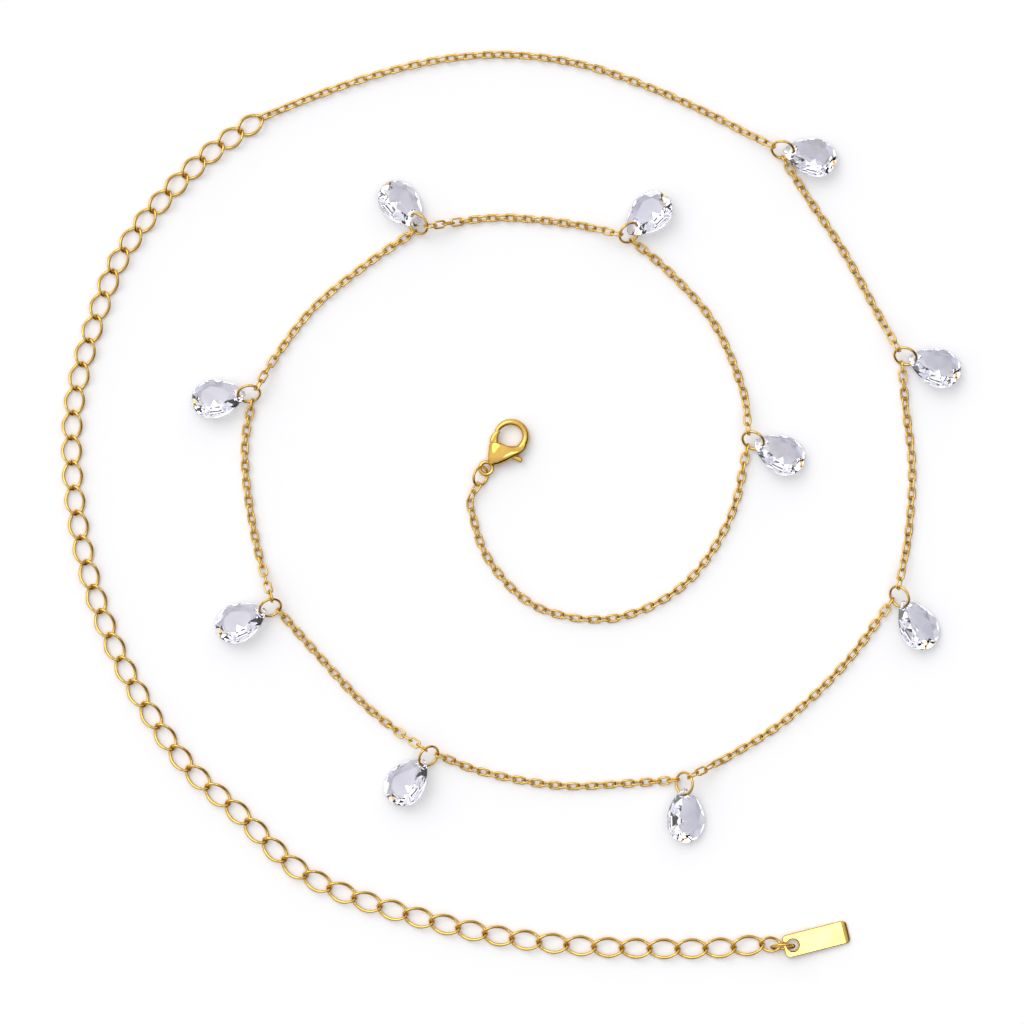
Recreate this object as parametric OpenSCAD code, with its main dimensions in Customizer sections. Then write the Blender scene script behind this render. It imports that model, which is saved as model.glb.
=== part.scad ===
// Waist chain, laid on a flat surface in an open spiral of a little over two turns. A fine cable chain
// carries ten faceted pear drops on jump rings. One end has a lobster clasp, and the other an extender
// of twisted curb links with a plain tag. Millimetres, +Z up, with the surface at Z = 0.

/* [Lay] */
// Width of the surface that the laid chain covers
lay_w = 204; // [198:1:230]

/* [Fine chain] */
// Outside length of a fine link
link_len = 3.15; // [2.95:0.05:3.6]
// Outside width of a fine link
link_w = 2.1; // [1.95:0.05:2.4]
// Wire of a fine link
link_wire = 0.5; // [0.4:0.01:0.54]

/* [Drop rings] */
// Outside diameter of a drop's jump ring
ring_od = 5.6; // [5.2:0.1:6.4]
// Wire of a drop's jump ring
ring_wire = 0.58; // [0.46:0.01:0.62]
// Tilt of a drop's jump ring from the surface
ring_tilt = 44; // [40:1:50]

/* [Drops] */
// Length of a drop from tip to round end
drop_len = 12.3; // [11.5:0.1:14]
// Widest part of a drop
drop_w = 9; // [7.8:0.1:10.4]
// Height of the crown, from girdle to table
crown_h = 1.3; // [1:0.05:1.5]
// Thickness of the girdle band
girdle_h = 0.35; // [0.2:0.05:0.5]
// Depth of the pavilion, from girdle to culet
pavilion_h = 2.4; // [2.1:0.05:2.7]
// Width of the table as a share of the drop's
table_share = 0.55; // [0.45:0.01:0.65]
// Drilled hole through a drop
hole_d = 1.7; // [1.6:0.05:1.9]
// Hole centre from the drop's tip, on a drop with a share of 1
hole_inset = 1.7; // [1.55:0.05:1.9]
// Roll of a lying drop about its own length
drop_roll = 18; // [14:1:22]

/* [Extender] */
// Number of extender links
ext_count = 53; // [40:1:58]
// Outside length of the first extender link
ext_first_len = 6.85; // [6.5:0.05:7.6]
// Outside length of the last extender link, with the others between in even steps
ext_last_len = 7.9; // [6.8:0.05:8.2]
// Outside width of an extender link
ext_w = 4.8; // [4.4:0.05:5.6]
// Wire of an extender link
ext_wire = 0.7; // [0.6:0.02:0.8]
// Twist at each end of an extender link
ext_twist = 40; // [36:1:46]

/* [Tag] */
// Length of the tag
tag_len = 15.2; // [12:0.1:20]
// Width of the tag
tag_w = 5.2; // [4.4:0.1:6]
// Thickness of the tag
tag_t = 0.9; // [0.6:0.05:1.1]
// Corner radius of the tag
tag_corner = 1.1; // [0.3:0.05:1.4]
// Hole in the tag
tag_hole_d = 2.9; // [2.7:0.05:3.2]
// Metal left between the tag's hole and its end
tag_bridge = 0.65; // [0.6:0.05:0.75]
// Heading of the tag on the surface
tag_heading = 14; // [8:1:20]
// Outside length of the small link before the tag
tag_link_len = 5.4; // [5.1:0.05:6]
// Outside width of that link
tag_link_w = 3.8; // [3.6:0.05:4.2]
// Wire of that link
tag_link_wire = 0.65; // [0.55:0.01:0.68]
// Outside diameter of the tag's jump ring
tag_ring_od = 5.8; // [5.6:0.05:6]
// Wire of the tag's jump ring
tag_ring_wire = 0.6; // [0.5:0.01:0.64]

/* [Clasp] */
// Clasp length from the middle of its eye to the top of its hook
clasp_len = 13.2; // [12.6:0.1:14]
// Outside diameter of the hook
hook_od = 8.1; // [7.7:0.1:8.6]
// Wire of the hook
hook_wire = 1.45; // [1.2:0.05:1.6]
// Thickness of the clasp's body
clasp_t = 3; // [2.8:0.1:3.4]
// Outside diameter of the clasp's eye
eye_od = 3.66; // [3.5:0.02:4]
// Wire of the clasp's eye
eye_wire = 0.84; // [0.7:0.02:0.86]
// Thickness of the lever in its slot
lever_t = 1.2; // [1:0.05:1.3]
// Thickness of the lever's nose
nose_t = 1.9; // [1.3:0.05:2.2]
// Diameter of the lever's pin
pin_d = 0.8; // [0.6:0.05:0.9]
// Outside diameter of the clasp's jump ring
clasp_ring_od = 5; // [4.8:0.1:5.4]
// Wire of the clasp's jump ring
clasp_ring_wire = 0.62; // [0.5:0.01:0.66]
// Direction that the clasp points to on the surface
clasp_heading = 54; // [50:1:58]

/* [Clearances] */
// Gap between pieces that hang on each other
piece_gap = 0.1; // [0.08:0.01:0.14]
// Gap on each side of the lever in its slot
slot_gap = 0.08; // [0.06:0.01:0.1]
// Radial gap between the lever and its pin
pin_gap = 0.05; // [0.03:0.01:0.08]

/* [Hidden] */
DROPS = 10;
function two_digits(k) = k < 9 ? str("0", k + 1) : str(k + 1);
function drop_name(k) = str("drop_", two_digits(k));
function drop_ring_name(k) = str("drop_ring_", two_digits(k));
$fn = 48;

// Chosen points of the chain's route. Columns: x, y. A row with five columns is a drop's ring:
// x, y, heading of the drop, side of that heading on which the ring stands high (1 left, -1 right),
// share of the hole's distance from the tip.
chain_route = [
    [-8.9, 2.2], [-9.1, -1.5], [-5, -13], [6, -23.5], [23, -26], [39, -18.5], [49.5, -3.5],
    [54.8, 14.4, -26, 1, 1.3], [52.5, 26], [46, 41], [36, 52.5],
    [26.7, 61.5, 44, 1, 1.7], [14, 63.5], [-3, 65],
    [-21.2, 63.5, 130, -1, 1.8], [-33.5, 54], [-45, 44.5], [-53.5, 33.5],
    [-59.5, 25, 188, -1, 1], [-60.5, 14], [-60, 3], [-57.5, -11],
    [-54.7, -23.5, 205, -1, 0.85], [-46, -32], [-34.5, -44.5], [-26, -51.5],
    [-18.8, -57.2, 230, -1, 0.8], [-6, -61], [11, -64], [26, -63.5],
    [39.2, -63.4, 272, 1, 0.85], [50, -57], [63, -48.5], [76, -36],
    [88, -21, 302, 1, 0.8], [90, -8], [91, 8], [89.5, 22],
    [89.3, 33.5, 341, 1, 1], [82.5, 44.5], [75, 58], [67, 70],
    [61.5, 80.3, 347, 1, 1.4], [43, 89.5], [29, 95.5], [15, 100], [-0.5, 102], [-15.5, 101],
    [-30.5, 97.5], [-45, 92.5]];
// Chosen points of the extender's route, which runs on straight past the last one
ext_route = [
    [-57, 87.5], [-68, 80], [-78, 70.5], [-86, 60.5], [-92, 49], [-99.5, 21.5], [-98, -7],
    [-89.5, -34], [-75, -58], [-62, -70], [-50, -82], [-38, -88.5], [-19, -94.5], [-0.5, -98.5],
    [18, -100.5], [37, -101], [50, -100.7], [57, -99.9], [70, -101]];
// Middle of the clasp's eye on the surface
eye_point = [-5.75, 8.1];
// The width at which these points were chosen, and the shift that brings their middle to the origin
drawn_w = 204;
drawn_shift = [0.17, 0.26];
function laid(p) = lay_w / drawn_w * ([p.x, p.y] + drawn_shift);
eye_place = laid(eye_point);

GOLD = [0.83, 0.65, 0.24];
CRYSTAL = [0.9, 0.92, 0.97, 0.6];

// Facets of the meshed pieces
tube_sides = 8;
tube_step = 10;
wire_sides = 6;
link_segments = 12;
end_link_segments = 10;
spline_steps = 6;

// The fine chain's route is lifted over this length to reach a ring that stands high
lift_len = 9;
// Along a drop's ring, the links keep between these angles from its top
low_grip = -105;
high_grip = 75;
grip_share = 0.8;

function unit(v) = v / norm(v);
function across(v, w) = unit(v - (v * w) * w);
function fade(t) = t >= 1 ? 0 : t <= 0 ? 1 : 1 - t * t * (3 - 2 * t);
function clamp(v, low, high) = min(max(v, low), high);
function signed_pow(v, e) = sign(v) * pow(abs(v), e);
function flat(a) = [cos(a), sin(a), 0];

// A smooth curve through points, as short straight steps
function spline(pts, steps) = [
    for (i = [0:len(pts) - 2], j = [0:steps - 1])
        let (
            p = pts[i], q = pts[i + 1], t = j / steps,
            a = i > 0 ? (q - pts[i - 1]) / 2 : q - p,
            b = i < len(pts) - 2 ? (pts[i + 2] - p) / 2 : q - p)
        p * (2 * t * t * t - 3 * t * t + 1) + a * (t * t * t - 2 * t * t + t)
            + q * (3 * t * t - 2 * t * t * t) + b * (t * t * t - t * t),
    pts[len(pts) - 1]];
// Tables of x and y against the length run, and that length
function track(line) =
    let (run = [for (i = 0, s = 0; i < len(line);
        s = i + 1 < len(line) ? s + norm(line[i + 1] - line[i]) : s, i = i + 1) s])
    [[for (i = [0:len(line) - 1]) [run[i], line[i].x]],
     [for (i = [0:len(line) - 1]) [run[i], line[i].y]],
     run[len(run) - 1]];
function on(way, s) = [lookup(s, way[0]), lookup(s, way[1])];

// A tube of the given radius along 3-D points, as points and faces
function tube_mesh(line, radius, sides) =
    let (
        n = len(line),
        rings = [for (i = [0:n - 1])
            let (
                along = unit(line[min(i + 1, n - 1)] - line[max(i - 1, 0)]),
                left = unit(cross([0, 0, 1], along)), up = cross(along, left))
            [for (j = [0:sides - 1])
                let (a = (j + 0.5) * 360 / sides)
                line[i] + radius * (cos(a) * left + sin(a) * up)]])
    [[for (ring = rings) each ring],
     concat(
        [[for (j = [0:sides - 1]) j], [for (j = [sides - 1:-1:0]) (n - 1) * sides + j]],
        [for (i = [0:n - 2], j = [0:sides - 1])
            let (a = i * sides + j, b = i * sides + (j + 1) % sides)
            each [[a, b + sides, b], [a, a + sides, b + sides]]])];

// A closed wire loop, long on X and lying on XY, whose ends turn about X by the twist.
// The corner value is 1 for an oval and smaller for a squarer loop.
function loop_mesh(length, width, wire, twist, corner, segments, sides) =
    let (
        half_l = (length - wire) / 2, half_w = (width - wire) / 2,
        round = [for (i = [0:segments - 1])
            let (a = (i + 0.5) * 360 / segments) [signed_pow(cos(a), corner), signed_pow(sin(a), corner)]],
        fit_l = half_l / max([for (p = round) p.x]), fit_w = half_w / max([for (p = round) p.y]),
        line = [for (p = round) [fit_l * p.x, fit_w * p.y]])
    [[for (i = [0:segments - 1], j = [0:sides - 1])
        let (
            along = unit(line[(i + 1) % segments] - line[(i + segments - 1) % segments]),
            a = j * 360 / sides,
            p = [line[i].x + wire / 2 * cos(a) * along.y, line[i].y - wire / 2 * cos(a) * along.x],
            z = wire / 2 * sin(a), turn = -twist * p.x / half_l)
        [p.x, p.y * cos(turn) - z * sin(turn), p.y * sin(turn) + z * cos(turn)]],
     [for (i = [0:segments - 1], j = [0:sides - 1])
        let (
            a = i * sides + j, b = i * sides + (j + 1) % sides,
            c = ((i + 1) % segments) * sides + j, d = ((i + 1) % segments) * sides + (j + 1) % sides)
        each [[a, b, d], [a, d, c]]]];

module meshed(mesh) polyhedron(mesh[0], mesh[1], convexity = 4);
// Puts children in a frame with the given X and Z directions
module framed(at, x, z) {
    y = cross(z, x);
    multmatrix([[x.x, y.x, z.x, at.x], [x.y, y.y, z.y, at.y], [x.z, y.z, z.z, at.z], [0, 0, 0, 1]])
        children();
}
module wire_ring(outer, wire) rotate_extrude() translate([(outer - wire) / 2, 0]) circle(d = wire);

// Drop rings. A ring's top is the side away from its drop. Its low side lies on a fine link's wire.
drop_rows = [for (i = [0:len(chain_route) - 1]) if (len(chain_route[i]) > 2) i];
ring_r = (ring_od - ring_wire) / 2;
ring_z = link_wire + 2 * piece_gap + ring_wire / 2 + ring_r * sin(ring_tilt);
function drop_row(k) = chain_route[drop_rows[k]];
function ring_place(k) = laid(drop_row(k));
function ring_middle(k) = [ring_place(k).x, ring_place(k).y, ring_z];
function ring_top(k) = -flat(drop_row(k)[2]);
function ring_side(k) = drop_row(k)[3] * flat(drop_row(k)[2] + 90);
function ring_rise(k) = cos(ring_tilt) * ring_side(k) + [0, 0, sin(ring_tilt)];
function ring_point(k, a) = ring_middle(k) + ring_r * (cos(a) * ring_top(k) + sin(a) * ring_rise(k));
function ring_tangent(k, a) = cos(a) * ring_rise(k) - sin(a) * ring_top(k);

module drop_ring(k) color(GOLD)
    framed(ring_middle(k), ring_top(k), cross(ring_top(k), ring_rise(k))) wire_ring(ring_od, ring_wire);

// Clasp's eye and jump ring
clasp_z = clasp_t / 2;
clasp_ring_r = (clasp_ring_od - clasp_ring_wire) / 2;
clasp_ring_tilt = 47;
clasp_ring_heading = 73;
clasp_ring_top = flat(clasp_ring_heading);
clasp_ring_left = flat(clasp_ring_heading + 90);
clasp_ring_rise = cos(clasp_ring_tilt) * clasp_ring_left + [0, 0, sin(clasp_ring_tilt)];
clasp_ring_z = clasp_ring_r * sin(clasp_ring_tilt) + clasp_ring_wire / 2;
// Where the ring meets the eye's middle plane, and how far left of the eye's middle that is
eye_pass = asin((clasp_z - clasp_ring_z) / (clasp_ring_r * sin(clasp_ring_tilt)));
eye_pass_left = 0.3;
clasp_ring_middle =
    let (
        pass = clasp_ring_r * (cos(eye_pass) * clasp_ring_top + sin(eye_pass) * clasp_ring_rise),
        place = [eye_place.x, eye_place.y, clasp_z] + eye_pass_left * clasp_ring_left - pass)
    [place.x, place.y, clasp_ring_z];
clasp_ring_grip = -175;

module clasp_ring() color(GOLD)
    framed(clasp_ring_middle, clasp_ring_top, cross(clasp_ring_top, clasp_ring_rise))
        wire_ring(clasp_ring_od, clasp_ring_wire);

// Extender. A pitch is the length of route that a link takes, and it grows along the extender.
function ext_len(i) = ext_first_len + (ext_last_len - ext_first_len) * i / (ext_count - 1);
function loop_pitch(length, wire) = length - 2 * wire - piece_gap;
first_pitch = loop_pitch(ext_first_len, ext_wire);
pitch_growth = (ext_last_len - ext_first_len) / (ext_count - 1);
function joint_at(i) = i * first_pitch + pitch_growth * i * (i - 1) / 2;
function ext_mesh(i) = loop_mesh(ext_len(i), ext_w, ext_wire, ext_twist, 1, link_segments, wire_sides);
ext_z = max([for (p = ext_mesh(0)[0]) p.z]);
ext_way = track(concat(
    spline([for (p = ext_route) laid(p)], spline_steps),
    [let (n = len(ext_route))
        laid(ext_route[n - 1]) + 8 * ext_last_len * unit(ext_route[n - 1] - ext_route[n - 2])]));
function ext_place(s) = let (p = on(ext_way, s)) [p.x, p.y, ext_z];
// A link that takes the route from one length to another
module ext_link(from, to, mesh) {
    start = ext_place(from);
    framed((start + ext_place(to)) / 2, unit(ext_place(to) - start), [0, 0, 1]) meshed(mesh);
}

module extender_chain() color(GOLD)
    for (i = [0:ext_count - 1]) ext_link(joint_at(i), joint_at(i + 1), ext_mesh(i));

// Small link that ends the extender, the ring through it and the tag
tag_link_start = joint_at(ext_count);
tag_link_end = tag_link_start + loop_pitch(tag_link_len, tag_link_wire);
tag_link_mesh = loop_mesh(tag_link_len, tag_link_w, tag_link_wire, ext_twist, 1, link_segments, wire_sides);
tag_ring_r = (tag_ring_od - tag_ring_wire) / 2;
// The ring stands nearly upright, and its top leans over to the left of its heading
tag_ring_lean = 76;
tag_ring_heading = 2;
tag_ring_z = tag_ring_r * sin(tag_ring_lean) + tag_ring_wire / 2;
tag_ring_x = flat(tag_ring_heading);
tag_ring_rise = cos(tag_ring_lean) * flat(tag_ring_heading + 90) + [0, 0, sin(tag_ring_lean)];
// The ring's middle is this far past the middle of the link's end wire, and this far right of the route
tag_ring_past = 0.38;
tag_ring_right = 0.2;
// The tag's end is this far from that wire, and the tag this far right of the ring's middle
tag_clear = 0.25;
tag_right = 0.35;
tag_ring_middle =
    let (p = on(ext_way, tag_link_end + tag_link_wire / 2 + piece_gap / 2 + tag_ring_past))
    [p.x, p.y, tag_ring_z] + tag_ring_right * flat(tag_ring_heading - 90);

module tag_link() color(GOLD) ext_link(tag_link_start, tag_link_end, tag_link_mesh);
module tag_ring() color(GOLD)
    framed(tag_ring_middle, tag_ring_x, cross(tag_ring_x, tag_ring_rise)) wire_ring(tag_ring_od, tag_ring_wire);

// The tag's holed end lies on its ring, and its far end on the surface
tag_lift = tag_ring_wire + 3 * piece_gap;
tag_pitch = asin(tag_lift / (tag_len - tag_bridge));
tag_hole_x = tag_bridge + tag_hole_d / 2;
tag_start = tag_link_wire / 2 + tag_clear - tag_ring_past;
module tag() color(GOLD)
    translate([tag_ring_middle.x, tag_ring_middle.y, 0]) rotate([0, 0, tag_heading])
        translate([tag_start, -tag_right, tag_len * sin(tag_pitch)]) rotate([0, tag_pitch, 0])
            difference() {
                linear_extrude(tag_t) tag_outline();
                translate([tag_hole_x, 0, -1]) cylinder(d = tag_hole_d, h = tag_t + 2);
            }
module tag_outline() {
    translate([tag_corner, -tag_w / 2]) square([tag_len - 2 * tag_corner, tag_w]);
    translate([0, tag_corner - tag_w / 2]) square([tag_len, tag_w - 2 * tag_corner]);
    for (x = [tag_corner, tag_len - tag_corner], y = [-1, 1])
        translate([x, y * (tag_w / 2 - tag_corner)]) circle(r = tag_corner);
}

// Fine chain. An end of a stretch is where it grips a wire: the point, the wire's direction and size.
// Its links lie rolled, so that it is less wide than a link.
lie_share = 0.9;
tube_r = lie_share * link_w / 2;
function ring_end(k, toward) =
    let (
        d = [toward.x, toward.y, 0] - [ring_place(k).x, ring_place(k).y, 0],
        a = clamp(grip_share * atan2(d * ring_side(k), d * ring_top(k)), low_grip, high_grip))
    [ring_point(k, a), ring_tangent(k, a), ring_wire];
clasp_end = [
    clasp_ring_middle + clasp_ring_r * (cos(clasp_ring_grip) * clasp_ring_top
        + sin(clasp_ring_grip) * clasp_ring_rise),
    cos(clasp_ring_grip) * clasp_ring_rise - sin(clasp_ring_grip) * clasp_ring_top,
    clasp_ring_wire];
ext_along = unit(ext_place(joint_at(1)) - ext_place(0));
ext_end = [
    ext_place(0) - (ext_wire + piece_gap) / 2 * ext_along,
    cos(ext_twist) * cross([0, 0, 1], ext_along) + [0, 0, sin(ext_twist)],
    ext_wire];

function stretch_points(k) = [
    for (i = [k == 0 ? 0 : drop_rows[k - 1] + 1 : k == DROPS ? len(chain_route) - 1 : drop_rows[k] - 1])
        laid(chain_route[i])];
function stretch_start(k) = k == 0 ? clasp_end : ring_end(k - 1, stretch_points(k)[0]);
function stretch_end(k) =
    let (points = stretch_points(k))
    k == DROPS ? ext_end : ring_end(k, points[len(points) - 1]);
function stretch_way(k) =
    let (a = stretch_start(k)[0], b = stretch_end(k)[0])
    track(spline(concat([[a.x, a.y]], stretch_points(k), [[b.x, b.y]]), spline_steps));
// A point of a stretch, lifted near its ends to the wires that they grip, or until the end link is clear
rest_gap = 0.02;
function stretch_place(k, way, s) =
    let (
        p = on(way, s),
        lift_a = max(link_w / 2 + rest_gap, stretch_start(k)[0].z) - tube_r,
        lift_b = max(link_w / 2 + rest_gap, stretch_end(k)[0].z) - tube_r)
    [p.x, p.y, tube_r + lift_a * fade(s / lift_len) + lift_b * fade((way[2] - s) / lift_len)];
// Distance from a gripped wire to the middle of the link round it
function grip_reach(wire) = link_len / 2 - link_wire - wire / 2 - piece_gap;
// Distance from a gripped wire to the tube's first ring, in the middle of that link's far end
function tube_inset(wire) = grip_reach(wire) + (link_len - link_wire) / 2;

end_link_mesh = loop_mesh(link_len, link_w, link_wire, 0, 0.75, end_link_segments, wire_sides);
// A link that meets the wire at a slant sits nearer to it
module end_link(end, at, along)
    framed(at + grip_reach(end[2] / norm(cross(end[1], along))) * along, along, across(end[1], along))
        meshed(end_link_mesh);
module stretch(k) {
    way = stretch_way(k);
    start = stretch_start(k);
    end = stretch_end(k);
    from = tube_inset(start[2]);
    to = way[2] - tube_inset(end[2]);
    steps = ceil((to - from) / tube_step);
    line = [for (i = [0:steps]) stretch_place(k, way, from + (to - from) * i / steps)];
    first = stretch_place(k, way, 0);
    last = stretch_place(k, way, way[2]);
    union() {
        meshed(tube_mesh(line, tube_r / cos(180 / tube_sides), tube_sides));
        end_link(start, first, unit(line[0] - first));
        end_link(end, last, unit(line[steps] - last));
    }
}
// The two parts of the chain meet at this drop's ring
meeting_drop = 5;
module fine_chain_inner() color(GOLD) for (k = [0:meeting_drop - 1]) stretch(k);
module fine_chain_outer() color(GOLD) for (k = [meeting_drop:DROPS]) stretch(k);

// Drops. A drop lies along X from its tip, with its girdle's middle on Z = 0.
pear_power = 0.55;
function pear_swell(a) = sin(a) * pow(abs(sin(a / 2)), pear_power);
pear_peak = max([for (a = [90:1:120]) pear_swell(a)]);
function pear(a) = [drop_len * (1 - cos(a)) / 2, drop_w / 2 * pear_swell(a) / pear_peak];
// The culet lies under the widest part
culet_share = 0.61;
girdle_points = 16;
function drop_mesh() =
    let (
        n = girdle_points, m = n / 2, culet_x = culet_share * drop_len,
        outline = [for (j = [0:n - 1]) pear(-360 * j / n)],
        table = [for (j = [0:m - 1])
            [culet_x, 0] + table_share * (outline[2 * j] - [culet_x, 0])])
    [concat(
        [for (p = outline) [p.x, p.y, girdle_h / 2]],
        [for (p = outline) [p.x, p.y, -girdle_h / 2]],
        [for (p = table) [p.x, p.y, girdle_h / 2 + crown_h]],
        [[culet_x, 0, -girdle_h / 2 - pavilion_h]]),
     concat(
        [[for (j = [m - 1:-1:0]) 2 * n + j]],
        [for (j = [0:n - 1]) [j, (j + 1) % n, n + (j + 1) % n, n + j]],
        [for (j = [0:n - 1]) [n + j, n + (j + 1) % n, 2 * n + m]],
        [for (j = [0:m - 1])
            let (t = 2 * n + j, u = 2 * n + (j + 1) % m, g = 2 * j, before = (g + n - 1) % n)
            each [[before, t, g], [g, t, g + 1], [g + 1, t, u]]])];
// Rolled and pitched until the culet meets the surface, with the hole round the ring's lowest reach
function drop_inset(k) = hole_inset * drop_row(k)[4];
function drop_pitch(k) = asin((ring_z - (girdle_h / 2 + pavilion_h) * cos(drop_roll))
    / (culet_share * drop_len - drop_inset(k)));
module drop(k) color(CRYSTAL)
    translate(ring_point(k, 180)) rotate([0, drop_pitch(k), drop_row(k)[2]])
        rotate([-drop_row(k)[3] * drop_roll, 0, 0]) translate([-drop_inset(k), 0, 0])
            difference() {
                meshed(drop_mesh());
                // The hole is drilled along the ring's wire
                translate([drop_inset(k), 0, 0]) rotate([-drop_row(k)[3] * (90 - ring_tilt - drop_roll), 0, 0])
                    cylinder(d = hole_d, h = drop_w, center = true);
            }

// Clasp, modelled with its eye's middle at the origin and its hook along X
hook_x = clasp_len - hook_od / 2;
hook_y = -0.055 * hook_od;
hook_start = -80;
hook_tip = 98;
hook_slant = 8;
clasp_sides = 14;
clasp_squareness = 0.83;
// Sections of the body. Columns: left edge x and y and right edge x and y as shares of the hook's
// outside diameter, then thickness as a share of the body's.
body_sections = [
    [0.16, 0.05, 0.15, -0.11, 0.45],
    [0.26, 0.13, 0.25, -0.21, 0.72],
    [0.33, 0.18, 0.32, -0.26, 0.86],
    [0.46, 0.25, 0.48, -0.35, 0.99],
    [0.58, 0.31, 0.62, -0.42, 1],
    [0.73, 0.32, 0.79, -0.5, 0.97],
    [0.81, 0.1, 0.88, -0.54, 0.9],
    [0.85, -0.08, 0.98, -0.57, 0.8],
    [0.92, -0.22, 1.07, -0.58, 0.68],
    [1.03, -0.33, 1.14, -0.57, 0.6]];
hook_steps = 12;
function hook_width(a) = hook_wire * (a < 0 ? 1 + 0.2 * pow(a / hook_start, 2) : 1 - 0.28 * pow(a / hook_tip, 3));
function hook_point(r, a) = [hook_x + r * cos(a), hook_y + r * sin(a)];
clasp_sections = concat(
    [for (s = body_sections)
        [hook_od * s[0], hook_od * s[1], hook_od * s[2], hook_od * s[3], clasp_t * s[4]]],
    [for (i = [0:hook_steps])
        let (
            a = hook_start + i * (hook_tip - hook_start) / hook_steps, w = hook_width(a),
            inner = hook_point(hook_od / 2 - w, a), outer = hook_point(hook_od / 2, a))
        [inner.x, inner.y, outer.x, outer.y, w]],
    // The hook's end slants along the lever's nose
    [let (
        w = hook_width(hook_tip), inner = hook_point(hook_od / 2 - w, hook_tip),
        outer = hook_point(hook_od / 2, hook_tip + hook_slant))
        [inner.x, inner.y, outer.x, outer.y, w]]);
function section_ring(s) = [
    for (j = [0:clasp_sides - 1])
        let (
            a = 360 * j / clasp_sides,
            c = signed_pow(cos(a), clasp_squareness), t = signed_pow(sin(a), clasp_squareness))
        [(s[0] + s[2]) / 2 + c * (s[0] - s[2]) / 2, (s[1] + s[3]) / 2 + c * (s[1] - s[3]) / 2, t * s[4] / 2]];
function loft_mesh(sections, sides) =
    let (n = len(sections))
    [[for (s = sections) each section_ring(s)],
     concat(
        [[for (j = [0:sides - 1]) j], [for (j = [sides - 1:-1:0]) (n - 1) * sides + j]],
        [for (i = [0:n - 2], j = [0:sides - 1])
            let (a = i * sides + j, b = i * sides + (j + 1) % sides)
            each [[a, b + sides, b], [a, a + sides, b + sides]]])];

pivot = hook_od * [0.543, -0.025];
slot_t = lever_t + 2 * slot_gap;
pivot_r = pin_d / 2 + 0.6;
function from_pivot(r, a) = pivot + r * [cos(a), sin(a)];
// The body ends beside the lever's nose on a flat, which runs from the body's left edge to its opening
seam = hook_od * [0.64, 0.34];
seam_heading = -54.4;
function by_seam(along, out) = seam
    + along * [cos(seam_heading), sin(seam_heading)] + out * [-sin(seam_heading), cos(seam_heading)];

// Room for the lever over its whole swing: before the pin for its tongue, behind it for its tail
module lever_slot() linear_extrude(slot_t, center = true) {
    polygon([pivot, from_pivot(0.55 * hook_od, 13), from_pivot(0.55 * hook_od, 69)]);
    polygon([pivot, from_pivot(hook_od, -102), from_pivot(hook_od, -76), from_pivot(hook_od, -50)]);
    translate(pivot) circle(r = pivot_r + slot_gap);
}
module clasp_frame() translate([eye_place.x, eye_place.y, clasp_z]) rotate([0, 0, clasp_heading]) children();
module clasp_body() color(GOLD) clasp_frame() {
    difference() {
        meshed(loft_mesh(clasp_sections, clasp_sides));
        translate([seam.x, seam.y, -clasp_t]) rotate([0, 0, seam_heading])
            translate([-1, 0, 0]) cube([4, 1.2, 2 * clasp_t]);
        lever_slot();
    }
    translate([pivot.x, pivot.y, 0]) cylinder(d = pin_d, h = clasp_t * 0.8, center = true);
    wire_ring(eye_od, eye_wire);
}

// Lever. Its nose's end runs round the pin, just inside the hook's tip.
nose_gap = 0.12;
nose_r = norm(hook_point(hook_od / 2 - hook_width(hook_tip), hook_tip) - pivot) - nose_gap;
nose = [
    by_seam(1.9, slot_gap), by_seam(0.02, slot_gap), hook_od * [0.74, 0.398], hook_od * [0.86, 0.415],
    from_pivot(nose_r, 44), from_pivot(nose_r, 37), from_pivot(nose_r, 31), hook_od * [0.922, 0.226]];
module lever_outline() {
    polygon([
        by_seam(1.8, slot_gap), by_seam(1.8, slot_gap + 0.5), by_seam(0.7, slot_gap + 0.5),
        by_seam(0.7, slot_gap), from_pivot(0.9 * pivot_r, 64), from_pivot(0.9 * pivot_r, 160),
        from_pivot(0.9 * pivot_r, -77.5), from_pivot(0.66 * hook_od, -77.5),
        from_pivot(0.7 * hook_od, -74), from_pivot(0.69 * hook_od, -70), from_pivot(0.6 * hook_od, -63),
        from_pivot(0.45 * hook_od, -57), from_pivot(0.9 * pivot_r, -56), from_pivot(0.9 * pivot_r, 36)]);
    translate(pivot) circle(r = pivot_r);
}
module clasp_lever() color(GOLD) clasp_frame() difference() {
    union() {
        linear_extrude(lever_t, center = true) lever_outline();
        linear_extrude(nose_t, center = true) polygon(nose);
    }
    translate([pivot.x, pivot.y, 0]) cylinder(d = pin_d + 2 * pin_gap, h = 2 * lever_t, center = true);
}

clasp_body();
clasp_lever();
clasp_ring();
fine_chain_inner();
fine_chain_outer();
for (k = [0:DROPS - 1]) {
    drop_ring(k);
    drop(k);
}
extender_chain();
tag_link();
tag_ring();
tag();
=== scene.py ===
"""Waist chain laid in an open spiral: fine cable chain with faceted pear drops on jump rings, a lobster
clasp at its inner end, and an extender of twisted curb links with a plain tag at its outer end."""

import math
import random
from types import SimpleNamespace

import bmesh
import bpy
from mathutils import Matrix, Vector


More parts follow.
